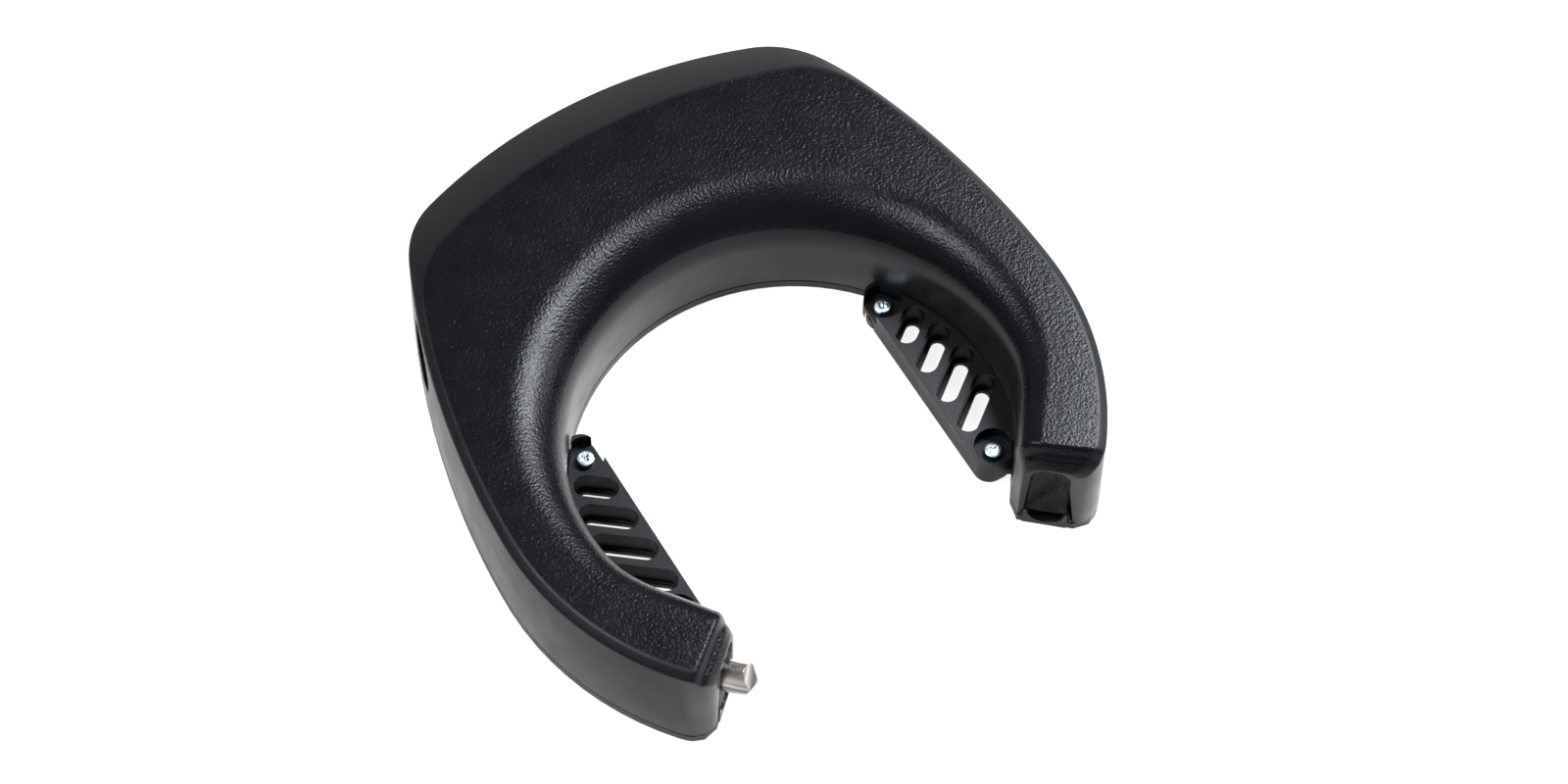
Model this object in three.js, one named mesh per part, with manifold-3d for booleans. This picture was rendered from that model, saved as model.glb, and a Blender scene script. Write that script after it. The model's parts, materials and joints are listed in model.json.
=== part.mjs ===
// Motor-driven ring lock for a bicycle's rear wheel, in millimetres, +Z up.
// A horseshoe housing holds a curved steel bolt that a small gearmotor turns about the ring's axis,
// out of the left arm, across the gap and into the right arm. Here the bolt is open.
//
// Angles are in degrees about the ring's axis, counter-clockwise seen from above: 0 is +X, 90 is the
// head, and the two arms end either side of -90. Radii are from the ring's axis.
import * as THREE from 'three';
import { mergeVertices } from 'three/addons/utils/BufferGeometryUtils.js';
import Module from 'manifold-3d';

const wasm = await Module();
wasm.setup();

// ---------------------------------------------------------------- driving dimensions

// Housing in plan
const RING_RADIUS = 56.5;        // inner wall of the ring
const ARM_SPARE = 9;             // from the bolt guide's outside to the outer wall at the shoulder
const SHOULDER_Y = 5.5;          // centre of the round lower outline, ahead of the ring's axis
const SIDE_RADIUS = 215;         // flatter arc from the shoulder up to the head
const SIDE_TANGENT = 1.8;        // angle at which the side arc leaves the shoulder arc
const HEAD_RADIUS = 129.6;       // arc across the head
const HEAD_DEPTH = 41.2;         // from the bolt guide's outside to the furthest point of the head
const CORNER_BLEND = 7;          // softening where the head arc meets the side arc
const CREASE_RADIUS = 150;       // crease between the flat top and the head's bevel
const BEVEL_DEPTH = 13.4;        // from the crease to the furthest point
const CREASE_BLEND = 9;
const RIGHT_GAP = 49;            // each arm ends this far from -Y
const LEFT_GAP = 47;
const PINCH = 3.6;               // ring wall steps in by this much towards the arms' ends
const PINCH_FROM = 96;           // where it starts and is complete, from the head
const PINCH_TO = 124;

// Housing in height
const HEIGHT = 33.7;             // flat top
const STRIP_WIDTH = 2.1;         // narrow chamfer round the top edge
const STRIP_DROP = 1.4;
const BEVEL_SLOPE = 0.4286;      // extra drop per millimetre where the chamfer widens to the bevel
const WALL_FLARE = 0.7;          // the outer wall leans out by this much at the bottom
const ROLL_HEAD = 15;            // radius of the roll from the ring wall to the top, at the head
const ROLL_ARM = 6;              // the same at the ends of the arms
const BASE = 2.6;                // thickness of the lower shell
const SEAM = 0.3;                // gap between the two shells
const WALL = 2.4;                // wall of the upper shell
const RING_WALL = 1.1;           // wall beside the bolt

// Arm ends
const NOZZLE_LENGTH = 3.7;       // along the arm, from the end face to the first ridge
const NOZZLE_STEP = 1.7;         // from the end face to the second ridge
const NOZZLE_TOP = 30.4;
const FACE_TOP = 27.9;
const FACE_SPARE = 0.1;          // end face beyond the bolt guide's outside
const END_ROUND = 6;             // length over which the outer wall curves in to the end face
const END_TAPER = 5;             // length over which the ring wall tapers to the end face
const TAPER_DEPTH = 2.2;
const MOUTH_TOP = 26.7;          // opening in the end face
const MOUTH_BOTTOM = 1.4;
const TONGUE_TOP = 6.3;          // lower shell's tongue under the opening
const TONGUE_SIDE = 0.9;         // tongue beyond the opening, each side
const TONGUE_DEPTH = 2.4;
const TONGUE_PROUD = 0.2;        // in front of the end face

// Bolt and its drive
const BOLT_DIAMETER = 8;
const BOLT_CLEARANCE = 0.3;
const BOLT_HEIGHT = 15.5;        // centre line above the bottom
const BOLT_TIP_ANGLE = 230.3;    // tip when open
const BOLT_ARC = 126;            // angle that the bolt spans
const BOLT_TRAVEL = 96;          // turn from open to locked
const TIP_TAPER = 5;             // length of the pointed tip
const GUIDE_WALL = 2.2;
const RACK_MODULE = 1;
const RACK_REACH = 1.6;          // rack's pitch circle beyond the bolt guide's outside
const RACK_THICKNESS = 2.5;
const RACK_GAP = 0.9;            // between the bolt's top and the rack
const RACK_INSIDE = 1.5;         // rack inside the bolt's centre line
const RACK_SPARE = 2.2;          // rack past the pinion at each end of the travel, degrees
const RIVET_RADIUS = 1.2;
const RIVET_HEAD = 1.6;
const PINION_ANGLE = 116;
const PINION_TEETH = 12;
const PINION_FACE = 2.9;
const WHEEL_TEETH = 30;
const WHEEL_MODULE = 0.8;
const WHEEL_FACE = 3;
const MOTOR_TEETH = 12;
const MOTOR_BEARING = 45;        // direction from the gear's axle to the motor's shaft
const AXLE_RADIUS = 1.5;
const BACKLASH = 0.12;           // share of a tooth left free

// Motor, battery, board and other bought-in pieces
const MOTOR_LENGTH = 10.5;
const MOTOR_WIDTH = 12;
const MOTOR_DEPTH = 10;
const GEARBOX_LENGTH = 8.5;
const CELL_RADIUS = 9.1;
const CELL_LENGTH = 49;
const CELL_ANGLE = -7.5;
const CELL_SIDE = 23.5;          // cell's middle to the right of the lock's middle
const CELL_SPARE = 17.8;         // cell's middle beyond the bolt guide's outside
const BOARD_FROM = 22;
const BOARD_TO = 46;
const BOARD_HEIGHT = 5;
const BOARD_THICKNESS = 1.6;

// Chain socket in the left wall, charging port in the right wall
const SOCKET_ANGLE = 134.3;
const SOCKET_WIDTH = 16.5;
const SOCKET_TALL = 18.5;
const SOCKET_ROOM = 0.75;        // between the socket and the roof above it
const SOCKET_WALL = 1.6;
const SOCKET_DEPTH = 13;
const SOCKET_LIP = 1.2;          // housing wall left in front of the socket
const LATCH_TRAVEL = 2;          // also how far the latch stands into the socket
const LATCH_DROP = 1;            // latch's foot below the socket
const PORT_ANGLE = 30;
const PORT_WIDTH = 10;
const PORT_TALL = 4.6;

// Frame brackets inside the ring
const BRACKET_WIDTH = 17.2;      // from the ring wall to the flat inner side
const BRACKET_TOP = 8.4;
const BRACKET_HEAD_END = 35.5;
const BRACKET_ARM_END = -24.6;
const BRACKET_CORNER = 4.2;
const SLOT_PITCH = 9.7;
const SLOT_SLANT = 38;
const SLOT_RECESS = 5.7;
const SLOT_WIDTH = 3.9;
const SLOT_LEDGE = 1.4;          // height of the step inside each slot
const SLOT_FIRST = 15.6;         // the first slot's line crosses the chord here
const SLOT_COUNT = 4;
const COUNTERBORE = 4.9;         // radius of the screw's well
const LUG_RADIUS = 5.6;

// Fasteners
const SCREW_RADIUS = 1.3;
const SCREW_HEAD = 2.3;
const SCREW_HEAD_HEIGHT = 1.3;
const BOSS_RADIUS = 2.9;
const FIT = 0.3;                 // clearance between neighbours

// ---------------------------------------------------------------- derived places

const RIGHT_END = -90 + RIGHT_GAP;
const LEFT_END = 270 - LEFT_GAP;
const HEAD_ANGLE = 90;
const ROOF = HEIGHT - WALL;
const RIM = BASE + SEAM;
const BOLT_RADIUS = BOLT_DIAMETER / 2;
const CHANNEL_INNER = RING_RADIUS + RING_WALL;
const BOLT_PATH = CHANNEL_INNER + BOLT_CLEARANCE + BOLT_RADIUS;
const GUIDE_INNER = CHANNEL_INNER + 0.6;
const GUIDE_WEB = BOLT_PATH + BOLT_RADIUS + BOLT_CLEARANCE;
const GUIDE_OUTER = GUIDE_WEB + GUIDE_WALL;
const SHOULDER_RADIUS = GUIDE_OUTER + ARM_SPARE;
const HEAD_Y = GUIDE_OUTER + HEAD_DEPTH;
const CREASE_Y = HEAD_Y - BEVEL_DEPTH;
const FACE_OUTER_RADIUS = GUIDE_OUTER + FACE_SPARE;
const MOUTH_HALF = BOLT_RADIUS + BOLT_CLEARANCE + 0.3;
const BOLT_TOP = BOLT_HEIGHT + BOLT_RADIUS;
const BOLT_TAIL_ANGLE = BOLT_TIP_ANGLE - BOLT_ARC;
const RACK_TEETH = Math.round((2 * (GUIDE_OUTER + RACK_REACH)) / RACK_MODULE); // on a whole circle
const RACK_PITCH = (RACK_TEETH * RACK_MODULE) / 2;
const RACK_BOTTOM = BOLT_TOP + RACK_GAP;
const RACK_TOP = RACK_BOTTOM + RACK_THICKNESS;
const RACK_OUTER = RACK_PITCH + 0.85 * RACK_MODULE;
const RACK_INNER = BOLT_PATH - RACK_INSIDE;
const RACK_FROM = PINION_ANGLE - BOLT_TRAVEL - RACK_SPARE;
const RACK_TO = PINION_ANGLE + RACK_SPARE;
const PINION_PITCH = (PINION_TEETH * RACK_MODULE) / 2;
const WHEEL_PITCH = (WHEEL_TEETH * WHEEL_MODULE) / 2;
const MOTOR_PITCH = (MOTOR_TEETH * WHEEL_MODULE) / 2;
const RIVET_TOP = RACK_TOP + 0.6;
const WHEEL_BOTTOM = RACK_TOP + 0.9;
const WHEEL_TOP = WHEEL_BOTTOM + WHEEL_FACE;
const BRIDGE_BOTTOM = WHEEL_TOP + 0.4;
const BRIDGE_TOP = BRIDGE_BOTTOM + 1.2;
const GUIDE_FLOOR = BOLT_HEIGHT - BOLT_RADIUS - BOLT_CLEARANCE;
const GUIDE_TOP = RACK_BOTTOM - 0.5;
const SOCKET_HEIGHT = ROOF - SOCKET_ROOM - SOCKET_WALL - SOCKET_TALL / 2;
const SOCKET_BOTTOM = SOCKET_HEIGHT - SOCKET_TALL / 2 - SOCKET_WALL;
const CELL_CENTRE = [CELL_SIDE, GUIDE_OUTER + CELL_SPARE];
const CHORD = RING_RADIUS - BRACKET_WIDTH;
const BRACKET_SCREWS = [
  [CHORD + 3.8, BRACKET_HEAD_END - 5.9],
  [CHORD + 5.7, BRACKET_ARM_END + 5.2],
];
const RUNOUT = 3.2;              // cavity stops this far before each end face, degrees

const rad = THREE.MathUtils.degToRad;
const deg = THREE.MathUtils.radToDeg;
const clamp = THREE.MathUtils.clamp;
const lerp = THREE.MathUtils.lerp;
const smoothstep = THREE.MathUtils.smoothstep;

// The point at a radius and angle.
function at(radius, angle) {
  return [radius * Math.cos(rad(angle)), radius * Math.sin(rad(angle))];
}

// Distance along a ray from the ring's axis to a circle that holds the axis.
function rayToCircle(angle, cx, cy, radius) {
  const along = cx * Math.cos(rad(angle)) + cy * Math.sin(rad(angle));
  return along + Math.sqrt(along * along + radius * radius - cx * cx - cy * cy);
}

function softMin(a, b, blend) {
  const h = Math.max(blend - Math.abs(a - b), 0) / blend;
  return Math.min(a, b) - (h * h * blend) / 4;
}

// ---------------------------------------------------------------- the housing's outline

// Distance of an angle from the nearer end face, as a length along the arm.
function distanceToFace(angle) {
  return rad(Math.min(angle - RIGHT_END, LEFT_END - angle)) * BOLT_PATH;
}

// Outer wall at its top edge, before the arm's end curves in. The outline is symmetric in x.
function outline(angle) {
  const mirrored = angle > HEAD_ANGLE ? 180 - angle : angle;
  const inset = SIDE_RADIUS - SHOULDER_RADIUS;
  const sideX = -inset * Math.cos(rad(SIDE_TANGENT));
  const sideY = SHOULDER_Y - inset * Math.sin(rad(SIDE_TANGENT));
  const shoulder = rayToCircle(mirrored, 0, SHOULDER_Y, SHOULDER_RADIUS);
  const side = rayToCircle(mirrored, sideX, sideY, SIDE_RADIUS);
  const head = rayToCircle(mirrored, 0, HEAD_Y - HEAD_RADIUS, HEAD_RADIUS);
  const tangent = deg(Math.atan2(SHOULDER_Y, SHOULDER_RADIUS)) + SIDE_TANGENT;
  return softMin(mirrored < tangent ? shoulder : side, head, CORNER_BLEND);
}

function outerRadius(angle) {
  const left = clamp(1 - distanceToFace(angle) / END_ROUND, 0, 1);
  const curve = 1 - Math.sqrt(1 - left * left);
  return lerp(outline(angle), FACE_OUTER_RADIUS, curve);
}

// Crease between the flat top and the chamfer, which widens to the bevel at the head.
function creaseRadius(angle) {
  const crease = rayToCircle(angle, 0, CREASE_Y - CREASE_RADIUS, CREASE_RADIUS);
  const outer = outerRadius(angle) - STRIP_WIDTH;
  return angle > 0 && angle < 180 ? softMin(crease, outer, CREASE_BLEND) : outer;
}

// The flat top, which steps down over two ridges at the end of each arm.
function topHeight(angle) {
  const s = distanceToFace(angle);
  if (s > NOZZLE_LENGTH) {
    return HEIGHT;
  }
  if (s > NOZZLE_STEP) {
    return lerp(NOZZLE_TOP, HEIGHT, (s - NOZZLE_STEP) / (NOZZLE_LENGTH - NOZZLE_STEP));
  }
  return lerp(FACE_TOP, NOZZLE_TOP, s / NOZZLE_STEP);
}

// The ring's inner wall: it steps in along the arms, then tapers out again to the end face.
function innerRadius(angle) {
  const pinch = PINCH * smoothstep(Math.abs(angle - HEAD_ANGLE), PINCH_FROM, PINCH_TO);
  const taper = TAPER_DEPTH * clamp(1 - distanceToFace(angle) / END_TAPER, 0, 1);
  return RING_RADIUS - pinch + taper;
}

function rollRadius(angle) {
  const away = Math.abs(angle - HEAD_ANGLE) / (180 - RIGHT_GAP);
  return lerp(ROLL_HEAD, ROLL_ARM, smoothstep(away, 0.3, 1));
}

// Closed outline of the housing's section at an angle, as [radius, height].
function outerSection(angle) {
  const outer = outerRadius(angle);
  const crease = creaseRadius(angle);
  const top = topHeight(angle);
  const edge = top - STRIP_DROP - BEVEL_SLOPE * Math.max(outer - crease - STRIP_WIDTH, 0);
  const inner = innerRadius(angle);
  const roll = Math.min(rollRadius(angle), crease - inner - 1);
  const section = [[inner, RIM], [outer + WALL_FLARE, RIM], [outer, edge], [crease, top]];
  const steps = 5;
  for (let i = 0; i <= steps; i += 1) {
    const turn = (i / steps) * (Math.PI / 2);
    section.push([inner + roll * (1 - Math.sin(turn)), top - roll * (1 - Math.cos(turn))]);
  }
  return section;
}

// The hollow inside the upper shell at an angle. It reaches below the rim, to cut it open.
function cavitySection(angle) {
  const outer = outerRadius(angle) - WALL;
  const crease = creaseRadius(angle) - WALL / 3;
  const edge = ROOF - STRIP_DROP - BEVEL_SLOPE * Math.max(outer - crease, 0);
  const roll = Math.min(rollRadius(angle), crease - RING_RADIUS - 1);
  const inner = roll - WALL;
  const flat = Math.min(crease, outer - 0.5);
  const section = [[CHANNEL_INNER, 0], [outer + WALL_FLARE, 0], [outer, edge], [flat, ROOF]];
  const steps = 4;
  for (let i = 0; i <= steps; i += 1) {
    const turn = (i / steps) * (Math.PI / 2);
    const r = RING_RADIUS + WALL + inner * (1 - Math.sin(turn));
    section.push([r, ROOF - inner * (1 - Math.cos(turn))]);
  }
  section.push([CHANNEL_INNER, BOLT_HEIGHT + 1]);
  return section;
}

// ---------------------------------------------------------------- building blocks

// A closed geometry as a solid that can be joined and cut.
function solid(geometry) {
  const bare = geometry.index ? geometry.toNonIndexed() : geometry.clone();
  bare.deleteAttribute('normal');
  bare.deleteAttribute('uv');
  const merged = mergeVertices(bare, 1e-4);
  const mesh = new wasm.Mesh({
    numProp: 3,
    vertProperties: new Float32Array(merged.attributes.position.array),
    triVerts: new Uint32Array(merged.index.array),
  });
  return new wasm.Manifold(mesh);
}

function geometryOf(body) {
  const mesh = body.getMesh();
  const geometry = new THREE.BufferGeometry();
  geometry.setAttribute('position', new THREE.BufferAttribute(mesh.vertProperties, 3));
  geometry.setIndex(new THREE.BufferAttribute(mesh.triVerts, 1));
  geometry.computeVertexNormals();
  return geometry;
}

// A closed body through sections of equal point count, each [radius, height] at its own angle.
function loft(sectionAt, angles) {
  const points = [];
  const faces = [];
  const sections = angles.map(sectionAt);
  const count = sections[0].length;
  sections.forEach((section, i) => {
    section.forEach(([r, z]) => points.push(...at(r, angles[i]), z));
  });
  for (let i = 0; i + 1 < sections.length; i += 1) {
    for (let j = 0; j < count; j += 1) {
      const a = i * count + j;
      const b = i * count + ((j + 1) % count);
      faces.push(a, a + count, b, b, a + count, b + count);
    }
  }
  const cap = (section) => THREE.ShapeUtils.triangulateShape(
    section.map(([r, z]) => new THREE.Vector2(r, z)), []);
  const last = (sections.length - 1) * count;
  cap(sections[0]).forEach(([a, b, c]) => faces.push(a, b, c));
  cap(sections[sections.length - 1]).forEach(([a, b, c]) => faces.push(last + a, last + c, last + b));
  const geometry = new THREE.BufferGeometry();
  geometry.setAttribute('position', new THREE.Float32BufferAttribute(points, 3));
  geometry.setIndex(faces);
  return solid(geometry);
}

function spread(from, to, step) {
  const count = Math.max(1, Math.ceil((to - from) / step));
  return Array.from({ length: count + 1 }, (unused, i) => lerp(from, to, i / count));
}

// A band of constant section [radius, height] round the ring's axis.
function arcBand(section, from, to, step = 4) {
  return loft(() => section, spread(from, to, step));
}

function rectangle(r0, r1, z0, z1) {
  return [[r0, z0], [r1, z0], [r1, z1], [r0, z1]];
}

// A flat plate of any outline between two heights.
function plate(shape, z0, z1, segments = 6) {
  const options = { depth: z1 - z0, bevelEnabled: false, curveSegments: segments };
  return solid(new THREE.ExtrudeGeometry(shape, options)).translate(0, 0, z0);
}

function post([x, y], radius, z0, z1, sides = 12) {
  const geometry = new THREE.CylinderGeometry(radius, radius, z1 - z0, sides);
  geometry.rotateX(Math.PI / 2);
  return solid(geometry).translate(x, y, (z0 + z1) / 2);
}

// A box given by its middle in plan, its sizes, its heights and its turn about Z.
function block([x, y], sx, sy, z0, z1, turn = 0) {
  const box = solid(new THREE.BoxGeometry(sx, sy, z1 - z0));
  return box.rotate(0, 0, turn).translate(x, y, (z0 + z1) / 2);
}

// A rounded slot between two points.
function slotShape([x0, y0], [x1, y1], radius) {
  const turn = Math.atan2(y1 - y0, x1 - x0);
  const shape = new THREE.Shape();
  shape.absarc(x1, y1, radius, turn - Math.PI / 2, turn + Math.PI / 2);
  shape.absarc(x0, y0, radius, turn + Math.PI / 2, turn + 1.5 * Math.PI);
  shape.closePath();
  return shape;
}

// A rounded slot standing on edge: its length is vertical and it is extruded along +X.
function uprightSlot(width, tall, depth) {
  const half = (tall - width) / 2;
  return plate(slotShape([-half, 0], [half, 0], width / 2), 0, depth, 6).rotate(0, 90, 0);
}

// A gear or a toothed arc: straight-sided teeth on a pitch circle, from one angle to another.
function toothedShape(teeth, module, phase, from, to) {
  const pitch = (teeth * module) / 2;
  const step = 360 / teeth;
  const root = pitch - 1.15 * module;
  const tip = pitch + 0.85 * module;
  const outline = [];
  const first = Math.ceil((from - phase) / step + 0.5);
  const last = Math.floor((to - phase) / step - 0.5);
  for (let k = first; k <= last; k += 1) {
    const middle = phase + k * step;
    const rootHalf = step * (0.36 - BACKLASH / 2);
    const tipHalf = step * (0.17 - BACKLASH / 4);
    outline.push(at(root, middle - rootHalf), at(tip, middle - tipHalf));
    outline.push(at(tip, middle + tipHalf), at(root, middle + rootHalf));
  }
  return { outline, root };
}

function gear(teeth, module, phase, z0, z1) {
  const { outline } = toothedShape(teeth, module, phase, 0, 360 + 1e-6);
  const shape = new THREE.Shape(outline.map(([x, y]) => new THREE.Vector2(x, y)));
  return plate(shape, z0, z1);
}

function union(bodies) {
  return bodies.reduce((joined, body) => joined.add(body));
}

// ---------------------------------------------------------------- materials

function finish(color, roughness, metalness) {
  return new THREE.MeshStandardMaterial({ color, roughness, metalness });
}

const SHELL_PLASTIC = finish(0x1e2023, 0.55, 0);
const LOWER_PLASTIC = finish(0x17181a, 0.6, 0);
const BRACKET_PLASTIC = finish(0x18191b, 0.65, 0);
const INNER_PLASTIC = finish(0x2a2c30, 0.7, 0);
const RUBBER = finish(0x0c0c0d, 0.9, 0);
const STAINLESS = finish(0xc4bfb8, 0.3, 1);
const ZINC = finish(0x9fb0bd, 0.35, 1);
const SPRING_STEEL = finish(0x8d9095, 0.4, 1);
const BRASS = finish(0xb08d4a, 0.35, 1);
const ACETAL = finish(0xdcdad2, 0.5, 0);
const BOARD_GREEN = finish(0x12402a, 0.5, 0);
const CHIP_BLACK = finish(0x101113, 0.5, 0);
const CELL_WRAP = finish(0x2c5f8f, 0.45, 0);

const lock = new THREE.Group();

function add(name, body, material) {
  const mesh = new THREE.Mesh(geometryOf(body), material);
  mesh.name = name;
  lock.add(mesh);
}

// ---------------------------------------------------------------- where the screws go

// Housing screws: angle, distance in from the outer wall, and the top of their boss.
const UNDER_RACK = RACK_BOTTOM - 0.5;
const HOUSING_SCREWS = [
  { angle: 206, inset: 3.9, top: UNDER_RACK },
  { angle: 172, inset: 4.6, top: UNDER_RACK },
  { angle: 124, inset: 8.5, top: ROOF + 1 },
  { angle: 90, inset: 8, top: ROOF - 4 },
  { angle: 56, inset: 8.5, top: ROOF + 1 },
  { angle: 4, inset: 6.2, top: ROOF + 1 },
  { angle: -16, inset: 6.2, top: ROOF + 1 },
].map((screw) => ({ ...screw, place: at(outerRadius(screw.angle) - screw.inset, screw.angle) }));

// ---------------------------------------------------------------- opening frames

// Places a body built about the origin, facing +X, at a radius and angle of the housing.
function facing(body, radius, angle, turn, z) {
  const [x, y] = at(radius, angle);
  return body.rotate(0, 0, turn).translate(x, y, z);
}

// Direction of the outer wall's normal at an angle.
function wallNormal(angle) {
  const [x0, y0] = at(outerRadius(angle - 0.5), angle - 0.5);
  const [x1, y1] = at(outerRadius(angle + 0.5), angle + 0.5);
  return deg(Math.atan2(y1 - y0, x1 - x0)) - 90;
}

const SOCKET_TURN = wallNormal(SOCKET_ANGLE);
const SOCKET_RADIUS = outerRadius(SOCKET_ANGLE);
const PORT_TURN = wallNormal(PORT_ANGLE);
const PORT_RADIUS = outerRadius(PORT_ANGLE);
const BOARD_TOP = BOARD_HEIGHT + BOARD_THICKNESS;
const PORT_HEIGHT = BOARD_TOP + PORT_TALL / 2 + FIT;

// The opening in an arm's end face, long enough to run from outside into the cavity.
function mouth(angle, grow = 0) {
  const length = 14;
  const width = 2 * (MOUTH_HALF + grow);
  const tall = MOUTH_TOP - MOUTH_BOTTOM + 2 * grow;
  const slot = uprightSlot(width, tall, length).translate(-length / 2, 0, 0);
  return facing(slot, BOLT_PATH, angle, angle + 90, (MOUTH_TOP + MOUTH_BOTTOM) / 2);
}

// ---------------------------------------------------------------- upper and lower shells

// Section angles: closer together at the arm ends and round the head's corners.
const END_STEPS = [0, NOZZLE_STEP, NOZZLE_LENGTH, NOZZLE_LENGTH + 1.2, END_ROUND + 1];
const END_ANGLES = END_STEPS.map((s) => deg(s / BOLT_PATH));
const HOUSING_ANGLES = [
  ...END_ANGLES.map((a) => RIGHT_END + a),
  ...spread(RIGHT_END + END_ANGLES[4], LEFT_END - END_ANGLES[4], 4).slice(1, -1),
  ...END_ANGLES.map((a) => LEFT_END - a).reverse(),
];

// The tongue of the lower shell that closes the bottom of an arm's end face.
function tongue(angle, direction, grow = 0) {
  const half = MOUTH_HALF + TONGUE_SIDE + grow;
  const depth = TONGUE_DEPTH + TONGUE_PROUD + 2 * grow;
  const centre = angle + direction * deg((TONGUE_DEPTH - TONGUE_PROUD) / 2 / BOLT_PATH);
  return block(at(BOLT_PATH, centre), 2 * half, depth, grow > 0 ? -1 : 0, TONGUE_TOP + grow, angle);
}

function upperShell() {
  const cavityAngles = spread(RIGHT_END + RUNOUT, LEFT_END - RUNOUT, 4);
  const bosses = HOUSING_SCREWS.map(({ place, top }) => post(place, BOSS_RADIUS, RIM, top, 12));
  const bores = HOUSING_SCREWS.map(({ place, top }) => (
    post(place, SCREW_RADIUS + FIT, RIM - 1, Math.min(top, ROOF) - 3, 8)));
  const outer = loft(outerSection, HOUSING_ANGLES);
  const hollow = loft(cavitySection, cavityAngles);
  const socketSeat = uprightSlot(SOCKET_WIDTH + 2 * (SOCKET_WALL + FIT),
    SOCKET_TALL + 2 * (SOCKET_WALL + FIT), 9 - SOCKET_LIP).translate(-9, 0, 0);
  const socketHole = uprightSlot(SOCKET_WIDTH, SOCKET_TALL, 14).translate(-9, 0, 0).add(socketSeat);
  const portHole = plate(slotShape([-PORT_WIDTH / 2 + PORT_TALL / 2, 0],
    [PORT_WIDTH / 2 - PORT_TALL / 2, 0], PORT_TALL / 2), 0, 12, 5)
    .rotate(0, 0, 90).rotate(0, 90, 0).translate(-8, 0, 0);
  const guideSpace = arcBand(rectangle(CHANNEL_INNER - 1, GUIDE_OUTER + FIT, 0, GUIDE_TOP + FIT),
    RIGHT_END, LEFT_END, 5);
  const columns = union(bosses).subtract(guideSpace).intersect(outer);
  let shell = outer.subtract(hollow).add(columns);
  shell = shell.subtract(union(bores));
  shell = shell.subtract(mouth(RIGHT_END)).subtract(mouth(LEFT_END));
  shell = shell.subtract(tongue(RIGHT_END, 1, FIT)).subtract(tongue(LEFT_END, -1, FIT));
  shell = shell.subtract(facing(socketHole, SOCKET_RADIUS, SOCKET_ANGLE, SOCKET_TURN, SOCKET_HEIGHT));
  return shell.subtract(facing(portHole, PORT_RADIUS, PORT_ANGLE, PORT_TURN, PORT_HEIGHT));
}

const AXLE_PLACE = at(RACK_PITCH + PINION_PITCH, PINION_ANGLE);
const MOTOR_PLACE = [
  AXLE_PLACE[0] + (WHEEL_PITCH + MOTOR_PITCH) * Math.cos(rad(MOTOR_BEARING)),
  AXLE_PLACE[1] + (WHEEL_PITCH + MOTOR_PITCH) * Math.sin(rad(MOTOR_BEARING)),
];
const BRIDGE_POSTS = [
  [MOTOR_PLACE[0] - 3, MOTOR_PLACE[1] + 10.5],
  [MOTOR_PLACE[0] + 11, MOTOR_PLACE[1] - 4],
];
const SEAM_STEP = 6;
const GASKET_INSET = 1.1;
const GASKET_WIDTH = 0.9;
const GASKET_HEIGHT = 0.8;

// A frame that follows the housing's outline, of a given width, between two heights.
function seamFrame(inset, width, z0, z1) {
  const margin = deg(5 / BOLT_PATH);
  const inner = RING_RADIUS + 0.8 + inset - GASKET_INSET;
  const from = RIGHT_END + margin + deg(inset / BOLT_PATH);
  const to = LEFT_END - margin - deg(inset / BOLT_PATH);
  const band = (shrink, low, high) => loft(
    (angle) => rectangle(inner + shrink, outerRadius(angle) - inset - shrink, low, high),
    spread(from + deg(shrink / BOLT_PATH), to - deg(shrink / BOLT_PATH), SEAM_STEP));
  return band(0, z0, z1).subtract(band(width, z0 - 1, z1 + 1));
}

function gasket() {
  return seamFrame(GASKET_INSET, GASKET_WIDTH, BASE - GASKET_HEIGHT, BASE);
}

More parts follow.
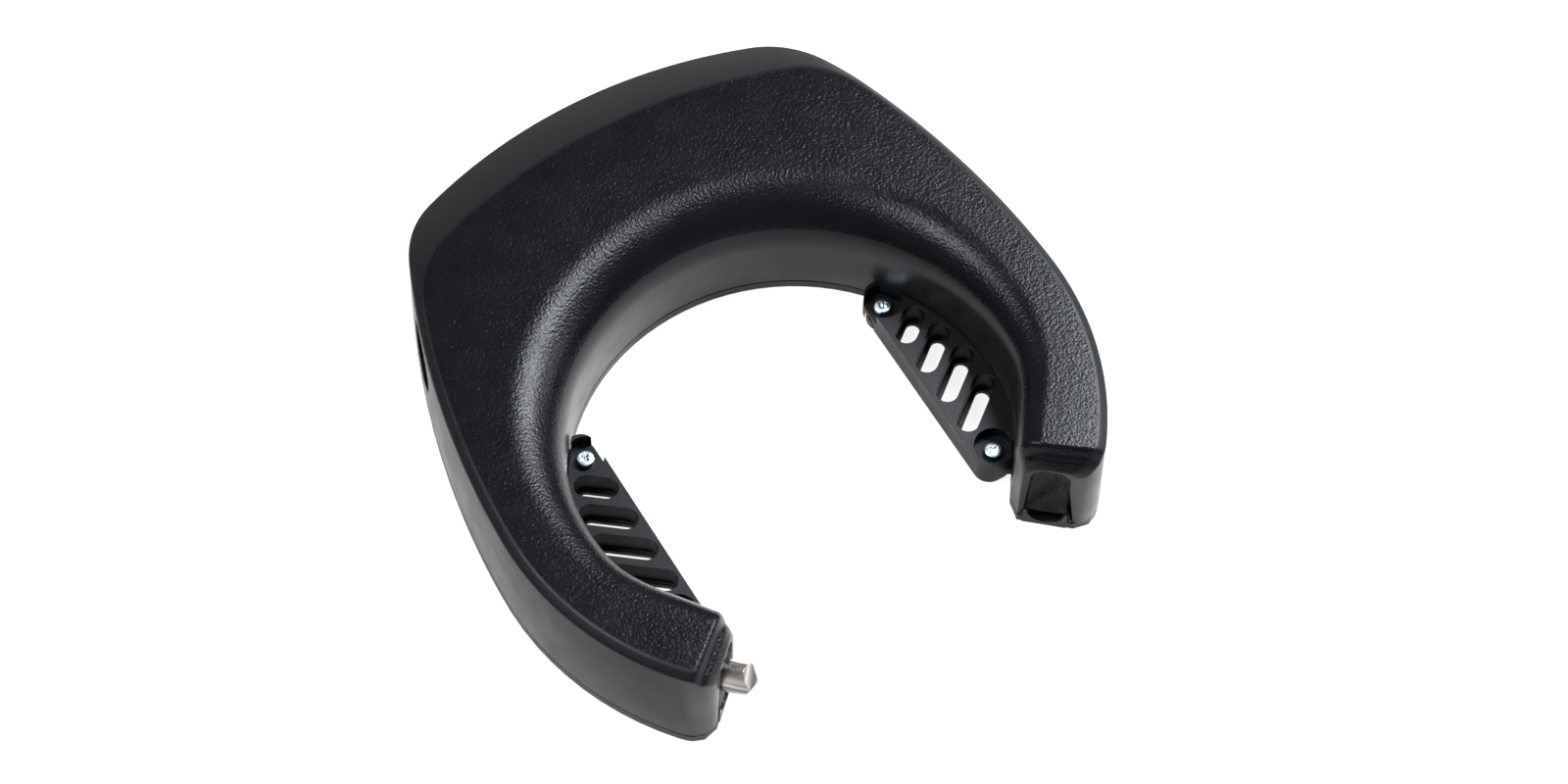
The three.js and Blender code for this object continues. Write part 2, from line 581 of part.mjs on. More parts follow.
function lowerShell() {
  const floor = loft((angle) => (
    rectangle(innerRadius(angle), outerRadius(angle) + WALL_FLARE, 0, BASE)), HOUSING_ANGLES);
  const sign = [1, -1];
  const lugs = sign.flatMap((side) => BRACKET_SCREWS.map(([x, y]) => lug([side * x, y], 0, BASE)));
  const lugHoles = sign.flatMap((side) => BRACKET_SCREWS.map(([x, y]) => (
    post([side * x, y], SCREW_RADIUS + FIT, -1, BASE + 1, 10))));
  const screwHoles = HOUSING_SCREWS.flatMap(({ place }) => [
    post(place, SCREW_RADIUS + FIT, -1, BASE + 1, 10),
    post(place, SCREW_HEAD + FIT, -1, SCREW_HEAD_HEIGHT + 0.2, 12),
  ]);
  const rackRib = arcBand(rectangle(BOLT_PATH - 1, BOLT_PATH + 1, BASE - 0.5, RACK_BOTTOM - FIT),
    24, BOLT_TAIL_ANGLE - 5);
  const guideRib = arcBand(rectangle(BOLT_PATH - 1.5, BOLT_PATH + 0.5, BASE - 0.5,
    GUIDE_FLOOR - 1.6 - FIT), BOLT_TAIL_ANGLE + 2, LEFT_END - 9);
  const axlePost = post(AXLE_PLACE, 3, BASE - 0.5, RACK_BOTTOM - 0.8);
  const bridgePosts = BRIDGE_POSTS.map((place) => post(place, 2.6, BASE - 0.5, BRIDGE_BOTTOM - FIT, 12));
  const bridgeBores = BRIDGE_POSTS.map((place) => (
    post(place, SCREW_RADIUS + FIT, BRIDGE_BOTTOM - 8, BRIDGE_BOTTOM + 1, 10)));
  const standoffs = [BOARD_FROM + 3, BOARD_TO - 3].map((angle) => (
    post(at(outerRadius(angle) - 9, angle), 2, BASE - 0.5, BOARD_HEIGHT - FIT, 12)));
  let shell = union([floor, tongue(RIGHT_END, 1), tongue(LEFT_END, -1), ...lugs, rackRib,
    guideRib, axlePost, ...bridgePosts, ...standoffs]);
  shell = shell.subtract(union([...lugHoles, ...screwHoles, ...bridgeBores]));
  shell = shell.subtract(mouth(RIGHT_END)).subtract(mouth(LEFT_END));
  shell = shell.subtract(post(AXLE_PLACE, AXLE_RADIUS + 0.05, BASE + 1, RACK_BOTTOM));
  return shell.subtract(seamFrame(GASKET_INSET - FIT, GASKET_WIDTH + 2 * FIT,
    BASE - GASKET_HEIGHT - FIT, BASE + 1));
}

// A lug of the lower shell under a bracket's screw, from the ring wall inwards.
function lug([x, y], z0, z1, grow = 0) {
  const angle = deg(Math.atan2(y, x));
  const [wallX, wallY] = at(RING_RADIUS + 3, angle);
  const shape = slotShape([x, y], [wallX, wallY], LUG_RADIUS - 1.5 + grow);
  const reach = plate(shape, z0, z1, 6);
  const beyond = arcBand(rectangle(RING_RADIUS + 0.5, RING_RADIUS + 20, z0 - 1, z1 + 1),
    angle - 30, angle + 30, 6);
  return grow > 0 ? reach : reach.subtract(beyond);
}

add('upper_shell', upperShell(), SHELL_PLASTIC);
add('lower_shell', lowerShell(), LOWER_PLASTIC);
add('shell_gasket', gasket(), RUBBER);

// ---------------------------------------------------------------- bolt, rack and guides

// The bolt: a bent round bar whose tip is cut to a point by three facets.
function ringBolt() {
  const sides = 16;
  const circle = (angle, shrink, lift) => Array.from({ length: sides }, (unused, i) => {
    const turn = (i / sides) * 2 * Math.PI;
    const r = BOLT_RADIUS * shrink;
    return [BOLT_PATH + r * Math.cos(turn), BOLT_HEIGHT + lift + r * Math.sin(turn)];
  });
  const bar = loft((angle) => circle(angle, 1, 0), spread(BOLT_TAIL_ANGLE, BOLT_TIP_ANGLE, 6));
  const facets = [[0, 42], [125, 36], [245, 40]].map(([roll, lean]) => {
    const cutter = solid(new THREE.BoxGeometry(30, 30, 30)).translate(0, 15, 0);
    const placed = cutter.rotate(lean, 0, 0).rotate(0, roll, 0);
    return placed.rotate(0, 0, BOLT_TIP_ANGLE).translate(...at(BOLT_PATH, BOLT_TIP_ANGLE), BOLT_HEIGHT);
  });
  const rivetHoles = RIVET_ANGLES.map((angle) => (
    post(at(BOLT_PATH, angle), RIVET_RADIUS + FIT, BOLT_HEIGHT - 2, BOLT_TOP + 1, 12)));
  return bar.subtract(union(facets)).subtract(union(rivetHoles));
}

const RIVET_ANGLES = [BOLT_TAIL_ANGLE + 3, BOLT_TAIL_ANGLE + 10];
// A tooth gap of the rack stands at the pinion's angle.
const RACK_PHASE = PINION_ANGLE + 180 / RACK_TEETH;

function rackSector() {
  const { outline, root } = toothedShape(RACK_TEETH, RACK_MODULE, RACK_PHASE, RACK_FROM, RACK_TO);
  const shape = new THREE.Shape();
  const inner = spread(RACK_TO, RACK_FROM, 4).length;
  shape.moveTo(...at(root, RACK_FROM));
  outline.forEach(([x, y]) => shape.lineTo(x, y));
  shape.lineTo(...at(root, RACK_TO));
  const steps = 24 + inner;
  for (let i = 0; i <= steps; i += 1) {
    shape.lineTo(...at(RACK_INNER, lerp(RACK_TO, RACK_FROM, i / steps)));
  }
  const holes = RIVET_ANGLES.map((angle) => (
    post(at(BOLT_PATH, angle), RIVET_RADIUS + FIT, RACK_BOTTOM - 1, RACK_TOP + 1, 12)));
  return plate(shape, RACK_BOTTOM, RACK_TOP).subtract(union(holes));
}

function guide(from, to) {
  const section = [
    [GUIDE_INNER, GUIDE_FLOOR - 1.6], [GUIDE_WEB, GUIDE_FLOOR - 1.6], [GUIDE_WEB, RIM],
    [GUIDE_OUTER, RIM], [GUIDE_OUTER, GUIDE_TOP], [GUIDE_WEB, GUIDE_TOP],
    [GUIDE_WEB, GUIDE_FLOOR], [GUIDE_INNER, GUIDE_FLOOR],
  ];
  return arcBand(section, from, to, 4.5);
}

add('ring_bolt', ringBolt(), STAINLESS);
add('rack_sector', rackSector(), SPRING_STEEL);
RIVET_ANGLES.forEach((angle, i) => {
  const place = at(BOLT_PATH, angle);
  const shank = post(place, RIVET_RADIUS, BOLT_HEIGHT - 1.7, RIVET_TOP);
  const head = post(place, RIVET_HEAD, RIVET_TOP - 0.4, RIVET_TOP);
  add(`rack_rivet_${i + 1}`, shank.add(head), ZINC);
});
add('bolt_guide', guide(BOLT_TAIL_ANGLE - 2, LEFT_END - 4.2), ZINC);
const RECEIVER_TO = RIGHT_END + 19;
const receiverStop = arcBand(rectangle(GUIDE_INNER, GUIDE_WEB + 1, GUIDE_FLOOR - 1, GUIDE_TOP),
  RECEIVER_TO - 0.5, RECEIVER_TO + 2);
add('receiver_channel', guide(RIGHT_END + 4.2, RECEIVER_TO).add(receiverStop), ZINC);

// ---------------------------------------------------------------- gear train and motor

// Tooth phases in mesh: a tooth of each driven gear stands in a gap of its neighbour.
const PINION_PHASE = PINION_ANGLE + 180;
const WHEEL_PHASE = MOTOR_BEARING;
const MOTOR_PHASE = MOTOR_BEARING + 180 + 180 / MOTOR_TEETH;

function compoundGear() {
  const pinion = gear(PINION_TEETH, RACK_MODULE, PINION_PHASE, RACK_BOTTOM - 0.2, WHEEL_BOTTOM + 1);
  const wheel = gear(WHEEL_TEETH, WHEEL_MODULE, WHEEL_PHASE, WHEEL_BOTTOM, WHEEL_TOP);
  const bore = post([0, 0], AXLE_RADIUS + 0.1, RACK_BOTTOM - 1, WHEEL_TOP + 1);
  return pinion.add(wheel).subtract(bore).translate(AXLE_PLACE[0], AXLE_PLACE[1], 0);
}

function motorGear() {
  const teeth = gear(MOTOR_TEETH, WHEEL_MODULE, MOTOR_PHASE, WHEEL_BOTTOM, WHEEL_TOP);
  const shaft = post([0, 0], 1.5, WHEEL_BOTTOM - 1, WHEEL_TOP, 12);
  return teeth.add(shaft).translate(MOTOR_PLACE[0], MOTOR_PLACE[1], 0);
}

add('compound_gear', compoundGear(), ACETAL);
add('gear_axle', post(AXLE_PLACE, AXLE_RADIUS, BASE + 1.2, BRIDGE_TOP), STAINLESS);
add('motor_gear', motorGear(), BRASS);

const GEARBOX_TOP = WHEEL_BOTTOM - 1.3;
const GEARBOX_BOTTOM = GEARBOX_TOP - GEARBOX_LENGTH;
const MOTOR_TOP = GEARBOX_BOTTOM - FIT;
const MOTOR_TURN = MOTOR_BEARING + 180;

function motorCan() {
  const slab = block([0, 0], MOTOR_DEPTH, MOTOR_WIDTH, RIM, MOTOR_TOP);
  const round = post([0, 0], MOTOR_WIDTH / 2, RIM, MOTOR_TOP, 24);
  return slab.intersect(round).rotate(0, 0, MOTOR_TURN).translate(...MOTOR_PLACE, 0);
}

add('gearmotor_can', motorCan(), ZINC);
add('gearmotor_gearbox', block(MOTOR_PLACE, MOTOR_DEPTH, MOTOR_WIDTH, GEARBOX_BOTTOM, GEARBOX_TOP,
  MOTOR_TURN), BRASS);

function gearBridge() {
  const centres = [AXLE_PLACE, BRIDGE_POSTS[0], BRIDGE_POSTS[1]];
  const arms = centres.slice(1).map((end) => (
    plate(slotShape(AXLE_PLACE, end, 4), BRIDGE_BOTTOM, BRIDGE_TOP, 6)));
  const holes = [
    post(AXLE_PLACE, AXLE_RADIUS + 0.05, BRIDGE_BOTTOM - 1, BRIDGE_TOP + 1),
    ...BRIDGE_POSTS.map((place) => post(place, SCREW_RADIUS + FIT, BRIDGE_BOTTOM - 1, BRIDGE_TOP + 1, 12)),
  ];
  return union(arms).subtract(union(holes));
}

// A screw driven from above: a round head with its socket, and the shank below it.
function screw(place, headFrom, headTo, shankFrom) {
  const socket = post(place, 1, headTo - 0.7, headTo + 1, 6);
  const head = post(place, SCREW_HEAD, headFrom, headTo);
  return head.add(post(place, SCREW_RADIUS, shankFrom, headFrom + 0.2, 10)).subtract(socket);
}

add('gear_bridge', gearBridge(), SPRING_STEEL);
BRIDGE_POSTS.forEach((place, i) => {
  const head = BRIDGE_TOP + FIT;
  add(`bridge_screw_${i + 1}`, screw(place, head, head + 1.1, BRIDGE_BOTTOM - 6), ZINC);
});

// ---------------------------------------------------------------- battery and electronics

function cellBody(radius, length) {
  const geometry = new THREE.CylinderGeometry(radius, radius, length, 20);
  const body = solid(geometry).rotate(0, 0, 90 + CELL_ANGLE);
  return body.translate(...CELL_CENTRE, BASE + 3 + CELL_RADIUS);
}

const CRADLE_HEIGHT = 8;

function batteryCradle() {
  const ends = [-1, 1].map((end) => {
    const offset = end * (CELL_LENGTH / 2 - 4);
    const x = CELL_CENTRE[0] + offset * Math.cos(rad(CELL_ANGLE));
    const y = CELL_CENTRE[1] + offset * Math.sin(rad(CELL_ANGLE));
    return block([x, y], 4, 2 * CELL_RADIUS, BASE + FIT, BASE + CRADLE_HEIGHT, CELL_ANGLE);
  });
  const spine = block(CELL_CENTRE, CELL_LENGTH - 8, 4, BASE + FIT, BASE + 2, CELL_ANGLE);
  return union([...ends, spine]).subtract(cellBody(CELL_RADIUS + FIT, CELL_LENGTH + 10));
}

function mainBoard() {
  const inner = GUIDE_OUTER + 5;
  return loft((angle) => rectangle(inner, outerRadius(angle) - WALL - 1.2, BOARD_HEIGHT, BOARD_TOP),
    spread(BOARD_FROM, BOARD_TO, 5));
}

add('battery_cell', cellBody(CELL_RADIUS, CELL_LENGTH), CELL_WRAP);
add('battery_cradle', batteryCradle(), INNER_PLASTIC);
add('main_board', mainBoard(), BOARD_GREEN);
const CHIP_FLOOR = BOARD_TOP + FIT;
const DRIVER_RADIUS = GUIDE_OUTER + 8;
const DRIVER_ANGLE = 24.2;
add('radio_module', block(at(GUIDE_OUTER + 11.6, 40), 12, 9, CHIP_FLOOR, CHIP_FLOOR + 2.2, 40), ZINC);
add('motor_driver', block(at(DRIVER_RADIUS, DRIVER_ANGLE), 5, 5, CHIP_FLOOR, CHIP_FLOOR + 1.2, DRIVER_ANGLE), CHIP_BLACK);
add('alarm_buzzer', post(at(GUIDE_OUTER + 13.6, 50.5), 5, RIM, RIM + 9, 20), CHIP_BLACK);

const PORT_DEPTH = 6;
const PORT_PLATE = PORT_RADIUS - WALL - PORT_DEPTH / 2 - 1;
add('charge_socket', block(at(PORT_PLATE, PORT_ANGLE), PORT_DEPTH, PORT_WIDTH - 1,
  CHIP_FLOOR, CHIP_FLOOR + PORT_TALL - 1, PORT_TURN), ZINC);

// Rubber plug of the charging port, with a thin lip outside the wall.
function chargeCap() {
  const stem = (width, tall, from, to) => {
    const half = (width - tall) / 2;
    return plate(slotShape([-half, 0], [half, 0], tall / 2), from, to, 5).rotate(0, 0, 90).rotate(0, 90, 0);
  };
  const plug = stem(PORT_WIDTH - 2 * FIT, PORT_TALL - 2 * FIT, -WALL, 1.4);
  const lip = stem(PORT_WIDTH + 3, PORT_TALL + 3, 1.2, 2.2);
  return facing(plug.add(lip), PORT_RADIUS, PORT_ANGLE, PORT_TURN, PORT_HEIGHT);
}

add('charge_cap', chargeCap(), RUBBER);

// ---------------------------------------------------------------- chain socket and its latch

function latchBlock(grow = 0) {
  const wide = 6 + 2 * grow;
  return block([-SOCKET_DEPTH + 4, 0], 3 + 2 * grow, wide, -SOCKET_HEIGHT + LATCH_FOOT - grow,
    LATCH_TIP + grow);
}

// Heights above the bottom, and above the socket's middle for the latch's tip.
const LATCH_FOOT = SOCKET_BOTTOM - LATCH_DROP;
const SOCKET_FLOOR = -SOCKET_TALL / 2;
const LATCH_TIP = SOCKET_FLOOR + LATCH_TRAVEL;

function placeAtSocket(body) {
  return facing(body, SOCKET_RADIUS, SOCKET_ANGLE, SOCKET_TURN, SOCKET_HEIGHT);
}

function chainSocket() {
  const sleeve = uprightSlot(SOCKET_WIDTH + 2 * SOCKET_WALL, SOCKET_TALL + 2 * SOCKET_WALL,
    SOCKET_DEPTH - SOCKET_LIP - FIT).translate(-SOCKET_DEPTH, 0, 0);
  const hollow = uprightSlot(SOCKET_WIDTH, SOCKET_TALL, SOCKET_DEPTH).translate(-SOCKET_DEPTH + 2, 0, 0);
  return placeAtSocket(sleeve.subtract(hollow).subtract(latchBlock(FIT)));
}

function coilSpring(radius, wire, height, turns) {
  const points = [];
  const steps = turns * 10;
  for (let i = 0; i <= steps; i += 1) {
    const turn = (i / steps) * turns * 2 * Math.PI;
    const rise = wire + (height - 2 * wire) * (i / steps);
    points.push(new THREE.Vector3(radius * Math.cos(turn), radius * Math.sin(turn), rise));
  }
  const path = new THREE.CatmullRomCurve3(points);
  const circle = new THREE.Shape();
  circle.absarc(0, 0, wire, 0, 2 * Math.PI);
  const options = { steps, extrudePath: path, curveSegments: 3 };
  return solid(new THREE.ExtrudeGeometry(circle, options));
}

const LATCH_BACK = -SOCKET_DEPTH + 4;
add('chain_socket', chainSocket(), SPRING_STEEL);
add('plug_latch', placeAtSocket(latchBlock()), STAINLESS);
add('latch_spring', facing(coilSpring(1.6, 0.28, LATCH_FOOT - BASE - 2 * FIT, 3)
  .translate(LATCH_BACK, 0, 0), SOCKET_RADIUS, SOCKET_ANGLE, SOCKET_TURN, BASE + FIT), SPRING_STEEL);

// ---------------------------------------------------------------- frame brackets

function bracketOutline() {
  const wall = (y) => {
    let angle = deg(Math.asin(y / RING_RADIUS));
    for (let i = 0; i < 6; i += 1) {
      angle = deg(Math.asin(y / (innerRadius(angle) - FIT)));
    }
    return at(innerRadius(angle) - FIT, angle);
  };
  const shape = new THREE.Shape();
  const ys = spread(BRACKET_ARM_END, BRACKET_HEAD_END, 3.5);
  const headCorner = Math.min(BRACKET_CORNER, wall(BRACKET_HEAD_END)[0] - CHORD - 0.5);
  const armCorner = BRACKET_CORNER;
  shape.moveTo(wall(BRACKET_ARM_END)[0], BRACKET_ARM_END);
  ys.slice(1, -1).forEach((y) => shape.lineTo(...wall(y)));
  shape.lineTo(wall(BRACKET_HEAD_END)[0], BRACKET_HEAD_END);
  shape.absarc(CHORD + headCorner, BRACKET_HEAD_END - headCorner, headCorner,
    Math.PI / 2, Math.PI, false);
  shape.absarc(CHORD + armCorner, BRACKET_ARM_END + armCorner, armCorner,
    Math.PI, 1.5 * Math.PI, false);
  shape.closePath();
  return shape;
}

// A slot's middle line, from near the chord out to near the ring wall.
function slotLine(index, width) {
  const margin = 1 + width / 2;
  const reach = RING_RADIUS - FIT - margin;
  const slope = Math.tan(rad(SLOT_SLANT));
  const start = SLOT_FIRST - SLOT_PITCH * index - slope * CHORD;
  const near = CHORD + margin;
  const b = 2 * slope * start;
  const a = 1 + slope * slope;
  const far = (-b + Math.sqrt(b * b - 4 * a * (start * start - reach * reach))) / (2 * a);
  return [[near, start + slope * near], [far, start + slope * far]];
}

function rightBracket() {
  const cuts = [];
  for (let i = 0; i < SLOT_COUNT; i += 1) {
    const [near, far] = slotLine(i, SLOT_RECESS);
    cuts.push(plate(slotShape(near, far, SLOT_RECESS / 2), SLOT_LEDGE, BRACKET_TOP + 1, 6));
    cuts.push(plate(slotShape(near, far, SLOT_WIDTH / 2), -1, SLOT_LEDGE + 1, 5));
  }
  BRACKET_SCREWS.forEach((place) => {
    cuts.push(post(place, COUNTERBORE, BRACKET_FLOOR, BRACKET_TOP + 1, 18));
    cuts.push(post(place, SCREW_RADIUS + FIT, 0, BRACKET_FLOOR + 1, 10));
    cuts.push(lug(place, -1, BASE + FIT, FIT));
  });
  return plate(bracketOutline(), 0, BRACKET_TOP, 8).subtract(union(cuts));
}

const BRACKET_FLOOR = BASE + FIT + 1.6;
const right = rightBracket();
add('right_bracket', right, BRACKET_PLASTIC);
add('left_bracket', right.mirror([1, 0, 0]), BRACKET_PLASTIC);

[['right', 1], ['left', -1]].forEach(([side, sign]) => {
  BRACKET_SCREWS.forEach(([x, y], i) => {
    const head = BRACKET_FLOOR + FIT;
    const body = screw([sign * x, y], head, head + 1.8, FIT);
    add(`${side}_bracket_screw_${i + 1}`, body, ZINC);
  });
});

HOUSING_SCREWS.forEach(({ place, top }, i) => {
  const length = Math.min(top, ROOF) - 3.5;
  const head = post(place, SCREW_HEAD, 0.1, SCREW_HEAD_HEIGHT - 0.1, 12);
  const socket = post(place, 1, -1, 0.7, 6);
  const shank = post(place, SCREW_RADIUS, SCREW_HEAD_HEIGHT - 0.2, Math.min(length, 14), 10);
  add(`housing_screw_${i + 1}`, head.subtract(socket).add(shank), ZINC);
});

// The origin is at the middle of the whole lock's underside.
const extent = new THREE.Box3().setFromObject(lock);
lock.position.y = -(extent.min.y + extent.max.y) / 2;

export default lock;
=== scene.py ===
import json
from math import asin, atan2, cos, degrees, radians, sin, sqrt, tan

import bmesh
import bpy
from mathutils import Matrix, Vector


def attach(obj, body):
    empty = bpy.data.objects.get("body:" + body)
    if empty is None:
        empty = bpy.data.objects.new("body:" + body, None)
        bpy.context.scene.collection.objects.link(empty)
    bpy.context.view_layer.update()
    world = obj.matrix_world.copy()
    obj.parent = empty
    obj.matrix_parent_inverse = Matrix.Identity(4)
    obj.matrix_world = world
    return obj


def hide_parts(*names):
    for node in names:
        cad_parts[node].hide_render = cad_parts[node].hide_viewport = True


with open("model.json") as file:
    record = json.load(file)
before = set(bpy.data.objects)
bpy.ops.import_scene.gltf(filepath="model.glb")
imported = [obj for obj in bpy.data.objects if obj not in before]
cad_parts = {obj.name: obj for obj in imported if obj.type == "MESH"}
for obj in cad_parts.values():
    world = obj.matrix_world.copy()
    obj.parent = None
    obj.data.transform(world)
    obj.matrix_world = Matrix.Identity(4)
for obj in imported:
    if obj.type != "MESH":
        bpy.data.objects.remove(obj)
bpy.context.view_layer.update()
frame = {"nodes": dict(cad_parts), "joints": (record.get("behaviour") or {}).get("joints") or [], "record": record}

# Lengths are in millimetres round the ring's axis, angles in degrees with the head at 90.
MM = 0.001
JOINTS = {joint["name"]: joint for joint in frame["joints"]}
RING_Y = JOINTS["bolt_turn"]["pos_m"][1]
TO_FRAME = Matrix.Translation((0, RING_Y, 0)) @ Matrix.Scale(MM, 4)

# ------------------------------------------------------------ sizes of the housing
RING_RADIUS = 56.5
BOLT_PATH = 61.9
BOLT_RADIUS = 4
BOLT_HEIGHT = 15.5
BOLT_TIP = 230.3
BOLT_TAIL = 104.3
GUIDE_OUTER = 68.4
GUIDE_TOP = 19.9
CHANNEL_INNER = 57.6
RIGHT_END = -41
LEFT_END = 223
HEAD_ANGLE = 90
SHOULDER_RADIUS = 77.4
SHOULDER_Y = 5.5
SIDE_RADIUS = 215
SIDE_TANGENT = 1.8
HEAD_RADIUS = 129.6
HEAD_Y = 109.6
CORNER_BLEND = 7
CREASE_RADIUS = 150
CREASE_Y = 96.2
CREASE_BLEND = 9
PINCH = 3.6
PINCH_FROM = 96
PINCH_TO = 124
HEIGHT = 33.7
STRIP_WIDTH = 2.1
STRIP_DROP = 1.4
BEVEL_SLOPE = 0.4286
WALL_FLARE = 0.7
ROLL_HEAD = 15
ROLL_ARM = 6
RIM = 2.9
BASE = 2.6
WALL = 2.4
ROOF = HEIGHT - WALL
RUNOUT = 3.2
FIT = 0.3
END_ROUND = 6
END_TAPER = 5
TAPER_DEPTH = 2.2
FACE_OUTER = 68.5
EDGE_ROUND = 0.5
RIDGES = ((0, 27.9), (1.5, 30.5), (2.6, 31.0), (3.7, 33.4), (4.3, HEIGHT))
RIDGE_SOFTEN = 0.3

# ------------------------------------------------------------ openings and fasteners
MOUTH_HALF = 4.6
MOUTH_BOTTOM = 1.4
MOUTH_TOP = 26.7
MOUTH_CORNER = 3.6
MOUTH_EDGE = 0.35
TONGUE_TOP = 6.3
TONGUE_HALF = 5.5
TONGUE_DEPTH = 2.4
TONGUE_PROUD = 0.2
SOCKET_ANGLE = 134.3
SOCKET_WIDTH = 16.5
SOCKET_TALL = 18.5
SOCKET_WALL = 1.6
SOCKET_LIP = 1.2
SOCKET_HEIGHT = 19.7
PORT_ANGLE = 30
PORT_WIDTH = 10
PORT_TALL = 4.6
PORT_HEIGHT = 9.2
SCREW_BORE = 1.6
BOSS_RADIUS = 2.9
HOUSING_SCREWS = ((206, 3.9, 19.9), (172, 4.6, 19.9), (124, 8.5, ROOF + 1), (90, 8, ROOF - 4),
                  (56, 8.5, ROOF + 1), (4, 6.2, ROOF + 1), (-16, 6.2, ROOF + 1))
CHORD = 39.3
BRACKET_TOP = 8.4
BRACKET_HEAD_END = 35.5
BRACKET_ARM_END = -24.6
BRACKET_CORNER = 4.2
BRACKET_FLOOR = 4.5
COUNTERBORE = 4.9
BRACKET_SCREWS = ((CHORD + 3.8, 29.6), (CHORD + 5.7, -19.4))
SLOT_COUNT = 4
SLOT_PITCH = 9.7
SLOT_SLANT = 38
SLOT_RECESS = 5.7
SLOT_WIDTH = 3.7
SLOT_LEDGE = 1.4
SLOT_FIRST = 15.6
LUG_RADIUS = 4.1


def at(radius, angle):
    return radius * cos(radians(angle)), radius * sin(radians(angle))


def lerp(a, b, share):
    return a + (b - a) * share


def smoothstep(value, low, high):
    share = min(max((value - low) / (high - low), 0), 1)
    return share * share * (3 - 2 * share)


def soft_min(a, b, blend):
    h = max(blend - abs(a - b), 0) / blend
    return min(a, b) - h * h * blend / 4


def spread(start, end, step):
    count = max(1, round(abs(end - start) / step))
    return [lerp(start, end, i / count) for i in range(count + 1)]


def ray_to_circle(angle, cx, cy, radius):
    along = cx * cos(radians(angle)) + cy * sin(radians(angle))
    return along + sqrt(along * along + radius * radius - cx * cx - cy * cy)


def face_distance(angle):
    return radians(min(angle - RIGHT_END, LEFT_END - angle)) * BOLT_PATH


def outline(angle):
    mirrored = 180 - angle if angle > HEAD_ANGLE else angle
    inset = SIDE_RADIUS - SHOULDER_RADIUS
    side_x = -inset * cos(radians(SIDE_TANGENT))
    side_y = SHOULDER_Y - inset * sin(radians(SIDE_TANGENT))
    head = ray_to_circle(mirrored, 0, HEAD_Y - HEAD_RADIUS, HEAD_RADIUS)
    if mirrored < degrees(atan2(SHOULDER_Y, SHOULDER_RADIUS)) + SIDE_TANGENT:
        return soft_min(ray_to_circle(mirrored, 0, SHOULDER_Y, SHOULDER_RADIUS), head, CORNER_BLEND)
    return soft_min(ray_to_circle(mirrored, side_x, side_y, SIDE_RADIUS), head, CORNER_BLEND)


def outer_radius(angle):
    left = min(max(1 - face_distance(angle) / END_ROUND, 0), 1)
    return lerp(outline(angle), FACE_OUTER, 1 - sqrt(1 - left * left))


def inner_radius(angle):
    pinch = PINCH * smoothstep(abs(angle - HEAD_ANGLE), PINCH_FROM, PINCH_TO)
    return RING_RADIUS - pinch + TAPER_DEPTH * min(max(1 - face_distance(angle) / END_TAPER, 0), 1)


def crease_radius(angle):
    outer = outer_radius(angle) - STRIP_WIDTH
    if not 0 < angle < 180:
        return outer
    return soft_min(ray_to_circle(angle, 0, CREASE_Y - CREASE_RADIUS, CREASE_RADIUS), outer, CREASE_BLEND)


def ridge_height(distance):
    for (s0, z0), (s1, z1) in zip(RIDGES, RIDGES[1:]):
        if distance < s1:
            return lerp(z0, z1, (distance - s0) / (s1 - s0))
    return HEIGHT


def top_height(angle):
    distance = face_distance(angle)
    taps = [ridge_height(max(distance + RIDGE_SOFTEN * k / 2, 0)) for k in (-2, -1, 0, 1, 2)]
    return sum(taps) / len(taps)


def roll_radius(angle):
    return lerp(ROLL_HEAD, ROLL_ARM, smoothstep(abs(angle - HEAD_ANGLE) / (HEAD_ANGLE - RIGHT_END), 0.3, 1))


# ------------------------------------------------------------ materials


class Shader:
    """A procedural material and the few node shapes that all of them share."""

    def __init__(self, name):
        self.material = bpy.data.materials.new(name)
        self.material.use_nodes = True
        self.nodes = self.material.node_tree.nodes
        self.links = self.material.node_tree.links
        self.surface = self.nodes["Principled BSDF"]
        self.place = self.add("ShaderNodeTexCoord").outputs["Object"]

    def add(self, kind, **values):
        node = self.nodes.new(kind)
        for key, value in values.items():
            setattr(node, key, value)
        return node

    def noise(self, scale, detail=2, stretch=(1, 1, 1)):
        mapping = self.add("ShaderNodeMapping")
        mapping.inputs["Scale"].default_value = stretch
        self.links.new(self.place, mapping.inputs["Vector"])
        node = self.add("ShaderNodeTexNoise")
        node.inputs["Scale"].default_value = scale
        node.inputs["Detail"].default_value = detail
        self.links.new(mapping.outputs["Vector"], node.inputs["Vector"])
        return node.outputs["Fac"]

    def remap(self, value, from_low, from_high, to_low, to_high):
        node = self.add("ShaderNodeMapRange")
        for key, number in (("From Min", from_low), ("From Max", from_high),
                            ("To Min", to_low), ("To Max", to_high)):
            node.inputs[key].default_value = number
        self.links.new(value, node.inputs["Value"])
        return node.outputs["Result"]

    def blend(self, share, low, high):
        node = self.add("ShaderNodeMix", data_type="RGBA")
        self.links.new(share, node.inputs["Factor"])
        for socket, color in ((node.inputs[6], low), (node.inputs[7], high)):
            if isinstance(color, tuple):
                socket.default_value = (*color, 1)
            else:
                self.links.new(color, socket)
        return node.outputs[2]

    def relief(self, height, depth, edge):
        round_edge = self.add("ShaderNodeBevel", samples=6)
        round_edge.inputs["Radius"].default_value = edge
        bump = self.add("ShaderNodeBump")
        bump.inputs["Distance"].default_value = depth
        bump.inputs["Strength"].default_value = 1
        self.links.new(height, bump.inputs["Height"])
        self.links.new(round_edge.outputs["Normal"], bump.inputs["Normal"])
        self.links.new(bump.outputs["Normal"], self.surface.inputs["Normal"])


def shade(color, factor):
    return tuple(min(channel * factor, 1) for channel in color)


COOL_GLOSS = (0.86, 0.92, 1, 1)


